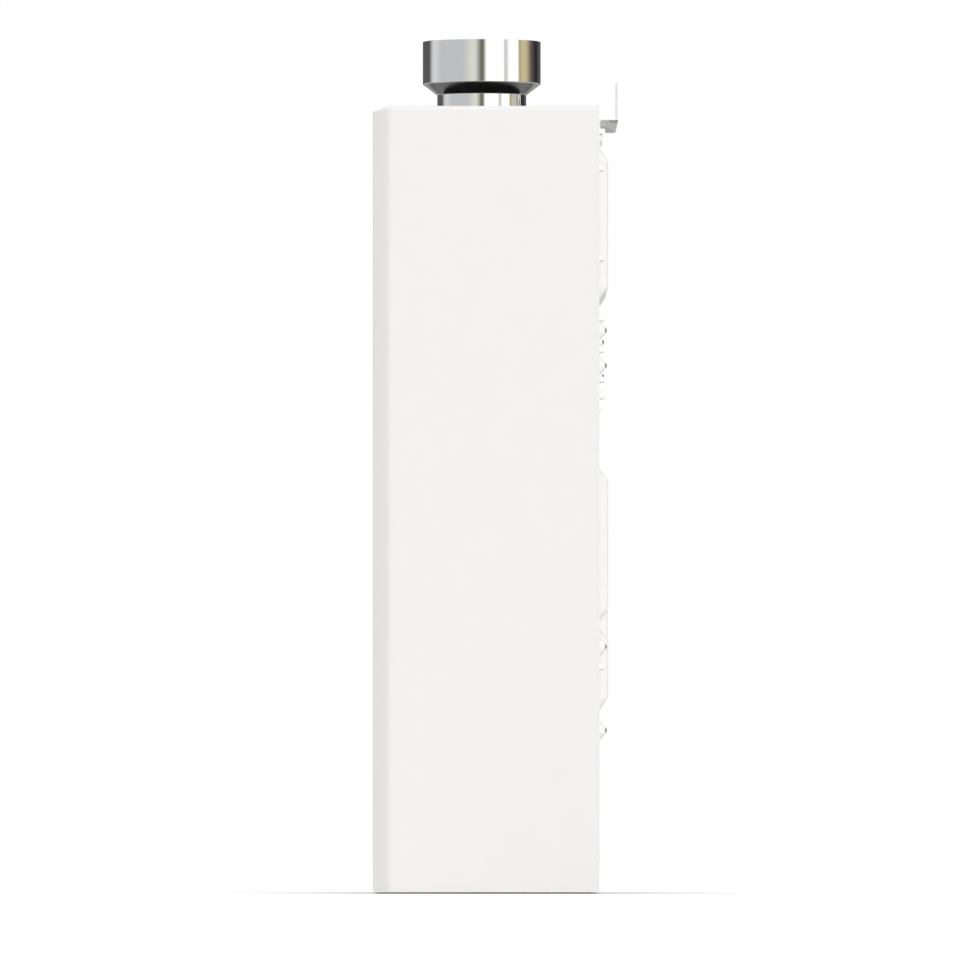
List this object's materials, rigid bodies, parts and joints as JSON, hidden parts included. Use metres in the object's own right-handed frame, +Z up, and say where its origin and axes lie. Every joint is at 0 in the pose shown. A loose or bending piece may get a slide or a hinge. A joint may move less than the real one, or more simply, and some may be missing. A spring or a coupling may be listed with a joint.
{
  "type": "tankless water heater",
  "caption": "White wall-hung gas tankless water heater with a chrome flue socket, zinc wall hanger, flush display and push buttons, and burner, copper exchanger and exhaust fan inside.",
  "frame": {"origin": "middle of the floor under the casing and its wall hanger", "axes": "+Z up along the casing, -Y out of the front face, +X to the cold water inlet"},
  "size_m": [0.33, 0.168, 0.5865],
  "materials": {
    "casing_paint": "satin powder coat",
    "panel_paint": "satin powder coat",
    "hanger_zinc": "zinc plated",
    "screw_steel": "dark zinc plated",
    "flue_chrome": "polished",
    "core_steel": "plain sheet",
    "motor_steel": "grey enamel",
    "copper": "drawn copper",
    "brass": "turned brass",
    "cast_alloy": "die cast",
    "coil_winding": "moulded coil",
    "seal_rubber": "black silicone",
    "clear_hose": "silicone",
    "ivory_plastic": "moulded",
    "dark_plastic": "moulded",
    "filter_plastic": "moulded",
    "display_gloss": "gloss black",
    "button_plastic": "satin black",
    "circuit_board": "lacquered board",
    "white_ceramic": "fired",
    "lead_sheath": "cable sheath"
  },
  "bodies": {
    "casing": {"front_cover": "casing_paint", "back_panel": "panel_paint", "bottom_plate": "panel_paint", "wall_hanger": "hanger_zinc", "hanger_screws": "hanger_zinc", "cover_screws": "screw_steel", "core_screws": "screw_steel", "core_brackets": "core_steel", "flue_adapter": "flue_chrome", "flue_seal": "seal_rubber", "flue_trim_ring": "core_steel", "fan_housing": "core_steel", "motor_bearings": "core_steel", "fan_motor": "motor_steel", "exhaust_hood": "core_steel", "pressure_switch": "ivory_plastic", "pressure_tube": "clear_hose", "exchanger_shell": "copper", "exchanger_fins": "copper", "exchanger_coil": "copper", "pipe_unions": "brass", "overheat_switch": "ivory_plastic", "outlet_thermistor": "dark_plastic", "burner_box": "core_steel", "burner_blades": "core_steel", "gas_manifold": "cast_alloy", "gas_injectors": "brass", "electrode_brackets": "core_steel", "ignition_electrode": "white_ceramic", "flame_sensor": "white_ceramic", "gas_inlet_fitting": "brass", "gas_valve_body": "cast_alloy", "solenoid_coils": "coil_winding", "inlet_spring": "core_steel", "main_spring": "core_steel", "modulator_coil": "coil_winding", "gas_pipe": "copper", "cold_inlet_fitting": "brass", "inlet_filter": "filter_plastic", "flow_sensor_body": "brass", "cold_pipe": "copper", "hot_pipe": "copper", "hot_outlet_fitting": "brass", "fitting_locknuts": "brass", "drain_valve_body": "brass", "display_panel": "display_gloss", "display_board": "circuit_board", "controller_box": "dark_plastic", "igniter_module": "dark_plastic", "cord_gland": "dark_plastic", "wiring": "lead_sheath"},
    "fan_rotor": {"fan_impeller": "cast_alloy", "fan_shaft": "core_steel"},
    "flow_turbine": {"flow_rotor": "filter_plastic"},
    "power_key": {"power_button": "button_plastic"},
    "plus_key": {"plus_button": "button_plastic"},
    "minus_key": {"minus_button": "button_plastic"},
    "inlet_armature": {"inlet_plunger": "core_steel"},
    "main_armature": {"main_plunger": "core_steel"},
    "drain_lever": {"drain_handle": "dark_plastic"}
  },
  "joints": [
    {"name": "fan_spin", "type": "hinge", "parent": "casing", "child": "fan_rotor", "pos_m": [0.018, -0.01, 0.45], "axis": [0, 1, 0], "continuous": true},
    {"name": "flow_spin", "type": "hinge", "parent": "casing", "child": "flow_turbine", "pos_m": [0.116, 0.008, 0.077], "axis": [0, 0, 1], "continuous": true},
    {"name": "power_press", "type": "slide", "parent": "casing", "child": "power_key", "axis": [0, 1, 0], "range_m": [0, 0.0012], "stiffness_N_per_m": 900},
    {"name": "plus_press", "type": "slide", "parent": "casing", "child": "plus_key", "axis": [0, 1, 0], "range_m": [0, 0.0012], "stiffness_N_per_m": 900},
    {"name": "minus_press", "type": "slide", "parent": "casing", "child": "minus_key", "axis": [0, 1, 0], "range_m": [0, 0.0012], "stiffness_N_per_m": 900},
    {"name": "inlet_lift", "type": "slide", "parent": "casing", "child": "inlet_armature", "axis": [0, 0, 1], "range_m": [0, 0.0025], "stiffness_N_per_m": 400, "deforming": ["inlet_spring"]},
    {"name": "main_lift", "type": "slide", "parent": "casing", "child": "main_armature", "axis": [0, 0, 1], "range_m": [0, 0.0025], "stiffness_N_per_m": 400, "deforming": ["main_spring"]},
    {"name": "drain_turn", "type": "hinge", "parent": "casing", "child": "drain_lever", "pos_m": [0.082, 0.008, 0.015], "axis": [0, 0, 1], "range_deg": [0, 90]}
  ]
}
